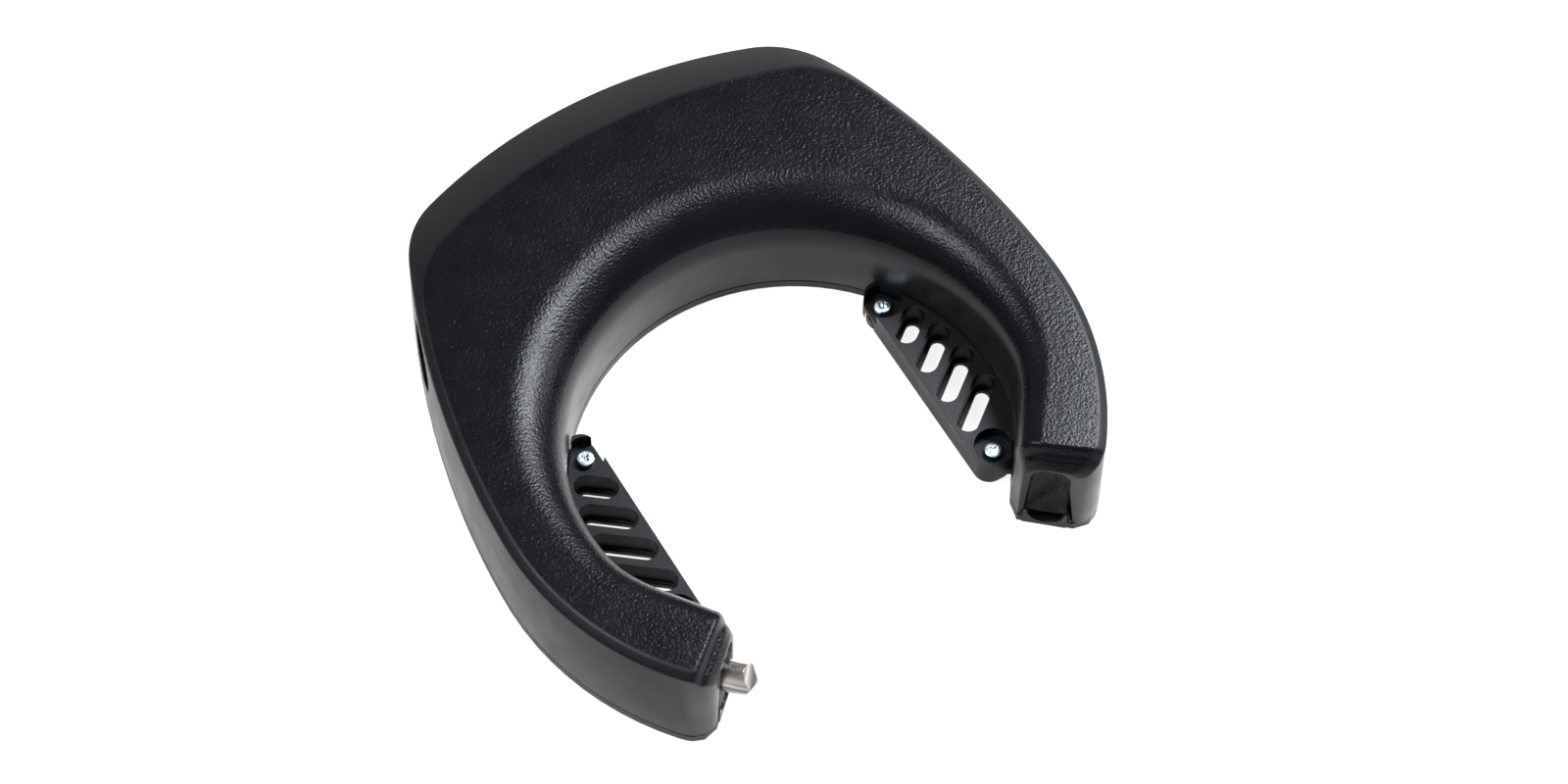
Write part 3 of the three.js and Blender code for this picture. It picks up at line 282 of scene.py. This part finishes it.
def plastic(name, color, rough, specular, grain, depth, edge=0.00025, wear=1.5):
    """Moulded plastic: fine grain, uneven gloss, a little colour drift and faint scuffs."""
    s = Shader(name)
    drift = s.remap(s.noise(45), 0.35, 0.65, 0, 1)
    base = s.blend(drift, shade(color, 0.88), shade(color, 1.12))
    scuff = s.remap(s.noise(210, 4, (1, 0.25, 1)), 0.64, 0.74, 0, 0.5)
    s.links.new(s.blend(scuff, base, shade(color, wear)), s.surface.inputs["Base Color"])
    gloss = s.remap(s.noise(130, 3), 0.3, 0.7, rough - 0.04, rough + 0.04)
    s.links.new(gloss, s.surface.inputs["Roughness"])
    s.surface.inputs["Specular IOR Level"].default_value = specular
    s.surface.inputs["Specular Tint"].default_value = COOL_GLOSS
    s.relief(s.noise(grain, 2), depth, edge)
    return s.material


def metal(name, color, rough, grain, depth, stretch=(1, 1, 1), darker_patch_and_reflection=0.8, run=(1, 1, 1), edge=0.00015):
    """Machined or pressed metal: fine marks, uneven polish and darker patches, which on the stainless steel are
    stretched into strong bands of painted dark reflection.
    """
    s = Shader(name)
    patch_and_reflection_mask = s.remap(s.noise(330, 2, run), 0.42, 0.56, 0, 1)
    s.links.new(s.blend(patch_and_reflection_mask, color, shade(color, darker_patch_and_reflection)), s.surface.inputs["Base Color"])
    s.links.new(s.remap(s.noise(420, 3, stretch), 0.3, 0.7, rough - 0.06, rough + 0.08),
                s.surface.inputs["Roughness"])
    s.surface.inputs["Metallic"].default_value = 1
    s.relief(s.noise(grain, 3, stretch), depth, edge)
    return s.material


GRAIN_SIZE = 1500
GRAIN = plastic("grained_plastic", (0.0005, 0.0006, 0.0009), 0.26, 0.082, GRAIN_SIZE, 0.00016)
SATIN = plastic("satin_plastic", (0.0036, 0.0038, 0.0043), 0.34, 0.10, 2600, 0.000012)
BEVEL = plastic("fine_grained_plastic", (0.0010, 0.0011, 0.0014), 0.42, 0.10, 2300, 0.00004)
# Cut faces in openings, bores and the hollow are darker and less glossy than the walls round them: painted shade
# for those hollows.
INSIDE_SHADE = plastic("inside_plastic_painted_shade", (0.0006, 0.0006, 0.0007), 0.6, 0.02, 1800, 0.00002)
LOWER = plastic("lower_plastic", (0.0018, 0.0019, 0.0022), 0.42, 0.2, 2300, 0.00002)
BRACKET = plastic("bracket_plastic", (0.0012, 0.0012, 0.0014), 0.42, 0.14, 2100, 0.00002)
INNER = plastic("frame_plastic", (0.0016, 0.0017, 0.0019), 0.5, 0.06, 1800, 0.00002)
RUBBER = plastic("soft_rubber", (0.0030, 0.0030, 0.0032), 0.75, 0.2, 1500, 0.00003)
ACETAL = plastic("white_acetal", (0.62, 0.60, 0.54), 0.45, 0.5, 1500, 0.00001, wear=0.85)
CHIP = plastic("chip_resin", (0.008, 0.008, 0.009), 0.5, 0.4, 2600, 0.00001)
CELL = plastic("cell_wrap", (0.025, 0.11, 0.27), 0.4, 0.5, 900, 0.00001, wear=1.2)
BOARD = plastic("board_resist", (0.010, 0.060, 0.026), 0.4, 0.5, 2100, 0.00001, wear=1.3)
# Stainless steel: the stretched dark bands in its colour are painted reflection of dark surroundings, not real
# dullness.
STEEL = metal("stainless_steel", (0.50, 0.47, 0.45), 0.2, 1300, 0.000004, (1, 1, 0.25), 0.16, (0.05, 0.05, 1))
ZINC = metal("blue_zinc", (0.42, 0.50, 0.56), 0.26, 1500, 0.000005)
SPRING = metal("spring_steel", (0.22, 0.23, 0.24), 0.38, 1200, 0.000006)
# Near-black steel: painted shade for zinc parts deep inside the housing.
SHADED_STEEL = metal("steel_in_painted_shade", (0.020, 0.021, 0.023), 0.5, 1200, 0.000006)
BRASS = metal("brass", (0.55, 0.38, 0.13), 0.3, 1400, 0.000005)

KINDS = [GRAIN, SATIN, INSIDE_SHADE, BEVEL, BRACKET, STEEL, ZINC]
GRAIN_K, SATIN_K, INSIDE_SHADE_K, BEVEL_K, BRACKET_K, STEEL_K, ZINC_K = range(len(KINDS))

BY_SLOT = {"shell_plastic": GRAIN, "lower_plastic": LOWER, "bracket_plastic": BRACKET,
           "inner_plastic": INNER, "rubber": RUBBER, "stainless": STEEL, "zinc": ZINC,
           "spring_steel": SPRING, "brass": BRASS, "acetal": ACETAL, "board": BOARD,
           "chip": CHIP, "cell": CELL}
for entry in frame["record"]["subparts"]:
    node = frame["nodes"][entry["node"]]
    node.data.materials.clear()
    node.data.materials.append(BY_SLOT[entry["material_slot"]])
# The bolt guide and receiver channel are zinc, but get the near-black steel as painted shade for the inside of the
# housing.
for shaded_node in ("bolt_guide", "receiver_channel"):
    frame["nodes"][shaded_node].data.materials[0] = SHADED_STEEL

# ------------------------------------------------------------ building blocks


def closed(points, faces, kinds):
    """A closed mesh that carries every kind of finish, so that cuts keep theirs."""
    mesh = bpy.data.meshes.new("solid")
    mesh.from_pydata(points, [], faces)
    for kind in KINDS:
        mesh.materials.append(kind)
    mesh.polygons.foreach_set("material_index", kinds)
    work = bmesh.new()
    work.from_mesh(mesh)
    bmesh.ops.recalc_face_normals(work, faces=work.faces)
    work.to_mesh(mesh)
    work.free()
    return mesh


def stack(rings, kind, cap=None):
    """A closed body through rings of equal point count; kind is one number or one for each side."""
    count = len(rings[0])
    sides = kind if isinstance(kind, list) else [kind] * count
    faces = []
    kinds = []
    for i in range(len(rings) - 1):
        for j in range(count):
            a, b, k = i * count, (i + 1) * count, (j + 1) % count
            faces.append((a + j, b + j, b + k, a + k))
            kinds.append(sides[j])
    total = len(rings) * count
    faces += [tuple(range(count)), tuple(range(total - 1, total - count - 1, -1))]
    kinds += [sides[0] if cap is None else cap] * 2
    return closed([point for ring in rings for point in ring], faces, kinds)


def sweep(section, angles, kind, cap=None):
    """A closed body through sections of (radius, height), each at its own angle."""
    return stack([[(*at(r, angle), z) for r, z in section(angle)] for angle in angles], kind, cap)


def changed(body, others):
    """The body with the others cut away."""
    holder = bpy.data.objects.new("holder", body)
    bpy.context.scene.collection.objects.link(holder)
    helpers = []
    for other in others:
        helper = bpy.data.objects.new("helper", other)
        bpy.context.scene.collection.objects.link(helper)
        helpers.append(helper)
        step = holder.modifiers.new("step", "BOOLEAN")
        step.operation = "DIFFERENCE"
        step.solver = "MANIFOLD"
        step.object = helper
    scene_state = bpy.context.evaluated_depsgraph_get()
    mesh = bpy.data.meshes.new_from_object(holder.evaluated_get(scene_state))
    for item in [holder, *helpers]:
        bpy.data.objects.remove(item)
    return mesh


def round_rect(half_width, half_tall, corner, steps=8):
    points = []
    for sx, sy, start in ((1, 1, 0), (-1, 1, 90), (-1, -1, 180), (1, -1, 270)):
        for i in range(steps + 1):
            dx, dy = at(corner, start + 90 * i / steps)
            points.append((sx * (half_width - corner) + dx, sy * (half_tall - corner) + dy))
    return points


def circle(radius, sides=40):
    return [at(radius, 360 * i / sides) for i in range(sides)]


def upright(layers, kind, place=(0, 0)):
    """Flat outlines at heights: [(outline, z), ...]."""
    return stack([[(place[0] + u, place[1] + v, z) for u, v in shape] for shape, z in layers], kind)


def sideways(layers, kind, radius, angle, turn, z):
    """Standing outlines along a direction of the housing: [(outline, distance), ...]."""
    mesh = stack([[(x, u, v) for u, v in shape] for shape, x in layers], kind)
    mesh.transform(Matrix.Translation((*at(radius, angle), z)) @ Matrix.Rotation(radians(turn), 4, "Z"))
    return mesh


def put(name, mesh, body, slot, *nodes, sharp=32):
    """Places a finished mesh in the frame, on a body, in place of CAD nodes."""
    indices = [polygon.material_index for polygon in mesh.polygons]
    used = sorted(set(indices))
    mesh.materials.clear()
    for index in used:
        mesh.materials.append(KINDS[index])
    mesh.polygons.foreach_set("material_index", [used.index(index) for index in indices])
    mesh.transform(TO_FRAME)
    mesh.shade_smooth()
    mesh.set_sharp_from_angle(angle=radians(sharp))
    mesh.name = name
    thing = bpy.data.objects.new(name, mesh)
    bpy.context.scene.collection.objects.link(thing)
    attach(thing, body)
    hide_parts(*nodes)
    return thing


def rounded(corners):
    """Outline whose corners, each (point, reach, steps), are softened by a short curve."""
    points = []
    count = len(corners)
    for i, (corner, reach, steps) in enumerate(corners):
        here = Vector(corner)
        if not steps:
            points.append(tuple(here))
            continue
        back = Vector(corners[i - 1][0]) - here
        ahead = Vector(corners[(i + 1) % count][0]) - here
        a = here + back.normalized() * min(reach, back.length * 0.45)
        b = here + ahead.normalized() * min(reach, ahead.length * 0.45)
        for k in range(steps + 1):
            t = k / steps
            points.append(tuple(a * (1 - t) ** 2 + here * 2 * t * (1 - t) + b * t * t))
    return points


def shrunk(section, inset):
    """The outline moved inwards by a small distance."""
    if inset <= 0:
        return section
    points = []
    count = len(section)
    for i, (r, z) in enumerate(section):
        r0, z0 = section[i - 1]
        r1, z1 = section[(i + 1) % count]
        normal = Vector((z0 - z1, r1 - r0)).normalized()
        points.append((r + normal.x * inset, z + normal.y * inset))
    return points


def end_inset(angle):
    """How far a section near an end face shrinks, so that the face's edge is round."""
    left = min(max(1 - face_distance(angle) / EDGE_ROUND, 0), 1)
    return EDGE_ROUND * (1 - sqrt(1 - left * left))


def housing_angles(step=0.5, fine=0.18, reach=7.5):
    """Section angles, closer together at the arm ends."""
    edge = [0, 0.03, 0.1, 0.22, 0.36, 0.5]
    steps = edge + spread(0.5, reach, fine)[1:]
    ends = [degrees(s / BOLT_PATH) for s in steps]
    middle = spread(RIGHT_END + ends[-1], LEFT_END - ends[-1], step)[1:-1]
    return [RIGHT_END + a for a in ends] + middle + [LEFT_END - a for a in reversed(ends)]


# ------------------------------------------------------------ upper shell
ROLL_STEPS = 20


def shell_section(angle):
    outer = outer_radius(angle)
    crease = crease_radius(angle)
    inner = inner_radius(angle)
    top = top_height(angle)
    edge = top - STRIP_DROP - BEVEL_SLOPE * max(outer - crease - STRIP_WIDTH, 0)
    roll = min(roll_radius(angle), crease - inner - 1)
    corners = [((inner, RIM), 0.2, 2), ((outer + WALL_FLARE, RIM), 0.3, 3),
               ((outer, edge), 0.6, 4), ((crease, top), 0.5, 4)]
    for i in range(ROLL_STEPS + 1):
        turn = radians(90 * i / ROLL_STEPS)
        corners.append(((inner + roll * (1 - sin(turn)), top - roll * (1 - cos(turn))), 0, 0))
    return shrunk(rounded(corners), end_inset(angle))


def hollow_section(angle):
    outer = outer_radius(angle) - WALL
    crease = crease_radius(angle) - WALL / 3
    edge = ROOF - STRIP_DROP - BEVEL_SLOPE * max(outer - crease, 0)
    roll = min(roll_radius(angle), crease - RING_RADIUS - 1) - WALL
    section = [(CHANNEL_INNER, 0), (outer + WALL_FLARE, 0), (outer, edge), (min(crease, outer - 0.5), ROOF)]
    for i in range(7):
        turn = radians(15 * i)
        section.append((RING_RADIUS + WALL + roll * (1 - sin(turn)), ROOF - roll * (1 - cos(turn))))
    return section + [(CHANNEL_INNER, BOLT_HEIGHT + 1)]


def wall_normal(angle):
    x0, y0 = at(outer_radius(angle - 0.5), angle - 0.5)
    x1, y1 = at(outer_radius(angle + 0.5), angle + 0.5)
    return degrees(atan2(y1 - y0, x1 - x0)) - 90


def mouth(angle, outward):
    """Cutter for the opening in an arm's end face, with a slightly widened edge."""
    half_tall = (MOUTH_TOP - MOUTH_BOTTOM) / 2
    plain = round_rect(MOUTH_HALF, half_tall, MOUTH_CORNER)
    wide = round_rect(MOUTH_HALF + MOUTH_EDGE, half_tall + MOUTH_EDGE, MOUTH_CORNER + MOUTH_EDGE)
    layers = [(plain, -7 * outward), (plain, -MOUTH_EDGE * outward),
              (wide, 0.01 * outward), (wide, 7 * outward)]
    return sideways(layers, INSIDE_SHADE_K, BOLT_PATH, angle, angle + 90, (MOUTH_TOP + MOUTH_BOTTOM) / 2)


def tongue(angle, outward, kind, grow=0):
    """The lower shell's tongue under a mouth, or with room round it the notch for it."""
    tall = TONGUE_TOP + grow
    shape = round_rect(TONGUE_HALF + grow, (tall + 1) / 2, 0.35, 3)
    layers = [(shape, -(TONGUE_DEPTH + grow) * outward), (shape, (TONGUE_PROUD + grow) * outward)]
    return sideways(layers, kind, BOLT_PATH, angle, angle + 90, (tall - 1) / 2)


def screw_place(angle, inset):
    return at(outer_radius(angle) - inset, angle)


ENDS = ((RIGHT_END, -1), (LEFT_END, 1))
SOCKET_TURN = wall_normal(SOCKET_ANGLE)
SOCKET_RADIUS = outer_radius(SOCKET_ANGLE)
PORT_TURN = wall_normal(PORT_ANGLE)
PORT_RADIUS = outer_radius(PORT_ANGLE)


def upper_shell():
    sides = [SATIN_K] * 7 + [BEVEL_K] * 9 + [GRAIN_K] * (ROLL_STEPS - 5) + [SATIN_K] * 7
    outer = sweep(shell_section, housing_angles(), sides, SATIN_K)
    bosses = [upright([(circle(BOSS_RADIUS), RIM - 1), (circle(BOSS_RADIUS), top)], INSIDE_SHADE_K,
                      screw_place(angle, inset)) for angle, inset, top in HOUSING_SCREWS]
    near, far, top = CHANNEL_INNER - 1, GUIDE_OUTER + FIT, GUIDE_TOP + FIT
    room = [(near, 0), (far, 0), (far, top), (near, top)]
    guide = sweep(lambda angle: room, spread(RIGHT_END, LEFT_END, 2), INSIDE_SHADE_K)
    hollow = sweep(hollow_section, spread(RIGHT_END + RUNOUT, LEFT_END - RUNOUT, 2), INSIDE_SHADE_K)
    hollow = changed(hollow, [changed(boss, [guide]) for boss in bosses])
    bores = [upright([(circle(SCREW_BORE, 24), RIM - 2), (circle(SCREW_BORE, 24), min(top, ROOF) - 3)],
                     INSIDE_SHADE_K, screw_place(angle, inset)) for angle, inset, top in HOUSING_SCREWS]
    seat = round_rect(SOCKET_WIDTH / 2 + SOCKET_WALL + FIT, SOCKET_TALL / 2 + SOCKET_WALL + FIT,
                      SOCKET_WIDTH / 2 + SOCKET_WALL + FIT, 16)
    hole = round_rect(SOCKET_WIDTH / 2, SOCKET_TALL / 2, SOCKET_WIDTH / 2, 16)
    rim = round_rect(SOCKET_WIDTH / 2 + 0.5, SOCKET_TALL / 2 + 0.5, SOCKET_WIDTH / 2 + 0.5, 16)
    where = (SOCKET_RADIUS, SOCKET_ANGLE, SOCKET_TURN, SOCKET_HEIGHT)
    port = round_rect(PORT_WIDTH / 2, PORT_TALL / 2, PORT_TALL / 2)
    cuts = [hollow, *bores, *[mouth(angle, out) for angle, out in ENDS],
            *[tongue(angle, out, INSIDE_SHADE_K, FIT) for angle, out in ENDS],
            sideways([(seat, -9), (seat, -SOCKET_LIP)], INSIDE_SHADE_K, *where),
            sideways([(hole, -9), (hole, -0.5), (rim, 0.4), (rim, 5)], INSIDE_SHADE_K, *where),
            sideways([(port, -8), (port, 4)], INSIDE_SHADE_K, PORT_RADIUS, PORT_ANGLE, PORT_TURN, PORT_HEIGHT)]
    return changed(outer, cuts)


put("upper_shell_skin", upper_shell(), "housing", "shell_plastic", "upper_shell")

# ------------------------------------------------------------ ring bolt


def ring_bolt():
    sides = 48
    angles = spread(BOLT_TAIL, BOLT_TIP, 1.5)
    ring = [at(BOLT_RADIUS, 360 * i / sides) for i in range(sides)]
    bar = sweep(lambda angle: [(BOLT_PATH + u, BOLT_HEIGHT + v) for u, v in ring], angles, STEEL_K)
    facets = []
    for roll, lean in ((0, 42), (125, 36), (245, 40)):
        cutter = upright([(round_rect(15, 15, 1, 1), -15), (round_rect(15, 15, 1, 1), 15)], STEEL_K, (0, 15))
        turned = Matrix.Rotation(radians(roll), 4, "Y") @ Matrix.Rotation(radians(lean), 4, "X")
        place = Matrix.Translation((*at(BOLT_PATH, BOLT_TIP), BOLT_HEIGHT))
        cutter.transform(place @ Matrix.Rotation(radians(BOLT_TIP), 4, "Z") @ turned)
        facets.append(cutter)
    return changed(bar, facets)


put("ring_bolt_bar", ring_bolt(), "bolt", "stainless", "ring_bolt")

# ------------------------------------------------------------ frame brackets


def bracket_wall(y):
    angle = degrees(asin(y / RING_RADIUS))
    for _ in range(6):
        angle = degrees(asin(y / (inner_radius(angle) - FIT)))
    return at(inner_radius(angle) - FIT, angle)


def bracket_outline():
    points = [bracket_wall(y) for y in spread(BRACKET_ARM_END, BRACKET_HEAD_END, 0.8)]
    head = min(BRACKET_CORNER, bracket_wall(BRACKET_HEAD_END)[0] - CHORD - 0.5)
    corners = ((head, BRACKET_HEAD_END - head, 90),
               (BRACKET_CORNER, BRACKET_ARM_END + BRACKET_CORNER, 180))
    for corner, y, start in corners:
        for i in range(11):
            dx, dy = at(corner, start + 9 * i)
            points.append((CHORD + corner + dx, y + dy))
    return points


def slot_line(index, width):
    margin = 1 + width / 2
    reach = RING_RADIUS - FIT - margin
    slope = tan(radians(SLOT_SLANT))
    start = SLOT_FIRST - SLOT_PITCH * index - slope * CHORD
    near = CHORD + margin
    b = 2 * slope * start
    a = 1 + slope * slope
    far = (-b + sqrt(b * b - 4 * a * (start * start - reach * reach))) / (2 * a)
    return (near, start + slope * near), (far, start + slope * far)


def slot_shape(line, radius, steps=10):
    (x0, y0), (x1, y1) = line
    turn = degrees(atan2(y1 - y0, x1 - x0))
    points = []
    for x, y, start in ((x1, y1, turn - 90), (x0, y0, turn + 90)):
        for i in range(steps + 1):
            dx, dy = at(radius, start + 180 * i / steps)
            points.append((x + dx, y + dy))
    return points


def lug_line(place):
    angle = degrees(atan2(place[1], place[0]))
    return place, at(RING_RADIUS + 3, angle)


def bracket():
    shape = bracket_outline()
    body = upright([(shape, 0), (shape, BRACKET_TOP)], BRACKET_K)
    cuts = []
    for index in range(SLOT_COUNT):
        line = slot_line(index, SLOT_RECESS)
        recess, through = slot_shape(line, SLOT_RECESS / 2), slot_shape(line, SLOT_WIDTH / 2)
        cuts.append(upright([(recess, SLOT_LEDGE), (recess, BRACKET_TOP + 1)], BRACKET_K))
        cuts.append(upright([(through, -1), (through, SLOT_LEDGE + 0.5)], BRACKET_K))
    for place in BRACKET_SCREWS:
        lug = slot_shape(lug_line(place), LUG_RADIUS + FIT)
        cuts.append(upright([(circle(COUNTERBORE), BRACKET_FLOOR), (circle(COUNTERBORE), BRACKET_TOP + 1)],
                            BRACKET_K, place))
        cuts.append(upright([(circle(SCREW_BORE, 24), -1), (circle(SCREW_BORE, 24), BRACKET_FLOOR + 1)],
                            BRACKET_K, place))
        cuts.append(upright([(lug, -1), (lug, BASE + FIT)], BRACKET_K))
    return changed(body, cuts)


def screw(place, floor):
    """A small dished head with a cross-shaped drive, on a plain shank."""
    head = [(circle(1.3), 0.4), (circle(1.3), floor + FIT), (circle(2.15), floor + FIT),
            (circle(2.3), floor + 0.45), (circle(2.3), floor + 1.3), (circle(2.1), floor + 1.75),
            (circle(1.8), floor + 1.9)]
    body = upright(head, ZINC_K, place)
    drive = []
    for turn in (20, 110):
        along, across = at(1, turn)
        blade = [(u * along - v * across, u * across + v * along) for u, v in round_rect(1.15, 0.3, 0.1, 2)]
        drive.append(upright([(blade, floor + 1), (blade, floor + 3)], ZINC_K, place))
    return changed(body, drive)


MIRROR = Matrix.Scale(-1, 4, (1, 0, 0))
for side, sign in (("right", 1), ("left", -1)):
    pad = bracket()
    if sign < 0:
        pad.transform(MIRROR)
        pad.flip_normals()
    put(f"{side}_bracket_pad", pad, "housing", "bracket_plastic", f"{side}_bracket")
    for number, (x, y) in enumerate(BRACKET_SCREWS, 1):
        put(f"{side}_bracket_fixing_{number}", screw((sign * x, y), BRACKET_FLOOR), "housing", "zinc",
            f"{side}_bracket_screw_{number}")

# ------------------------------------------------------------ floor, light and camera


FLOOR_LEVEL = -0.0003


def pale_floor():
    mesh = bpy.data.meshes.new("floor")
    size = 3
    corners = [(x * size, y * size, FLOOR_LEVEL) for x, y in ((-1, -1), (1, -1), (1, 1), (-1, 1))]
    mesh.from_pydata(corners, [], [(0, 1, 2, 3)])
    floor = bpy.data.objects.new("floor", mesh)
    bpy.context.scene.collection.objects.link(floor)
    s = Shader("floor_paper")
    path = s.add("ShaderNodeLightPath")
    glow = s.add("ShaderNodeEmission")
    diffuse = s.add("ShaderNodeBsdfDiffuse")
    mix = s.add("ShaderNodeMixShader")
    s.links.new(s.blend(s.noise(12), (0.86, 0.86, 0.86), (0.88, 0.88, 0.88)), diffuse.inputs["Color"])
    seen = s.add("ShaderNodeMath", operation="MAXIMUM")
    s.links.new(s.remap(path.outputs["Is Camera Ray"], 0, 1, 0, 0.86), seen.inputs[0])
    s.links.new(s.remap(path.outputs["Is Glossy Ray"], 0, 1, 0, 0.5), seen.inputs[1])
    s.links.new(seen.outputs[0], mix.inputs[0])
    s.links.new(diffuse.outputs[0], mix.inputs[1])
    s.links.new(glow.outputs[0], mix.inputs[2])
    s.links.new(mix.outputs[0], s.nodes["Material Output"].inputs["Surface"])
    mesh.materials.append(s.material)


def soft_light(name, azimuth, elevation, distance, size, power):
    """A square soft light that looks at the middle of the lock. Azimuth 0 is the camera's -Y side."""
    data = bpy.data.lights.new(name, "AREA")
    data.shape = "RECTANGLE"
    data.size, data.size_y = size
    data.energy = power
    light = bpy.data.objects.new(name, data)
    az, el = radians(azimuth), radians(elevation)
    towards = Vector((sin(az) * cos(el), -cos(az) * cos(el), sin(el)))
    light.location = towards * distance + Vector((0, 0, 0.02))
    light.rotation_euler = towards.to_track_quat("Z", "Y").to_euler()
    bpy.context.scene.collection.objects.link(light)


def studio_world():
    world = bpy.data.worlds.new("studio")
    bpy.context.scene.world = world
    world.use_nodes = True
    nodes, links = world.node_tree.nodes, world.node_tree.links
    background = nodes["Background"]
    background.inputs["Color"].default_value = (1, 1, 1, 1)
    path = nodes.new("ShaderNodeLightPath")
    seen = nodes.new("ShaderNodeMath")
    seen.operation = "MAXIMUM"
    links.new(path.outputs["Is Camera Ray"], seen.inputs[0])
    glossy = nodes.new("ShaderNodeMath")
    glossy.operation = "MAXIMUM"
    links.new(path.outputs["Is Glossy Ray"], glossy.inputs[0])
    links.new(path.outputs["Is Transmission Ray"], glossy.inputs[1])
    links.new(glossy.outputs[0], seen.inputs[1])
    strength = nodes.new("ShaderNodeMapRange")
    strength.inputs["To Min"].default_value = 0.25
    links.new(seen.outputs[0], strength.inputs["Value"])
    links.new(strength.outputs["Result"], background.inputs["Strength"])


pale_floor()
studio_world()
soft_light("key", 95, 52, 0.62, (0.2, 0.36), 20)
soft_light("left", -104, 60, 0.8, (0.22, 0.22), 11)
soft_light("front", 75, 22, 0.8, (0.2, 0.2), 3)

VIEW_AZIMUTH = -32.71
VIEW_ELEVATION = 61.12
VIEW_ROLL = 2.0
VIEW_DISTANCE = 1.0022
VIEW_TARGET = (0.0106, 0.02365, 0)
SENSOR_WIDTH = 36
LENS = 91.737


def photo_camera():
    data = bpy.data.cameras.new("camera")
    data.sensor_width = SENSOR_WIDTH
    data.lens = LENS
    camera = bpy.data.objects.new("camera", data)
    az, el, roll = radians(VIEW_AZIMUTH), radians(VIEW_ELEVATION), radians(VIEW_ROLL)
    back = Vector((sin(az) * cos(el), -cos(az) * cos(el), sin(el)))
    level = Vector((cos(az), sin(az), 0))
    rise = back.cross(level)
    right = cos(roll) * level + sin(roll) * rise
    up = cos(roll) * rise - sin(roll) * level
    spot = Vector(VIEW_TARGET) + Vector((0, RING_Y, 0)) + back * VIEW_DISTANCE
    camera.matrix_world = Matrix(((right.x, up.x, back.x, spot.x), (right.y, up.y, back.y, spot.y),
                                  (right.z, up.z, back.z, spot.z), (0, 0, 0, 1)))
    bpy.context.scene.collection.objects.link(camera)
    bpy.context.scene.camera = camera


photo_camera()
bpy.context.scene.view_settings.view_transform = "Standard"
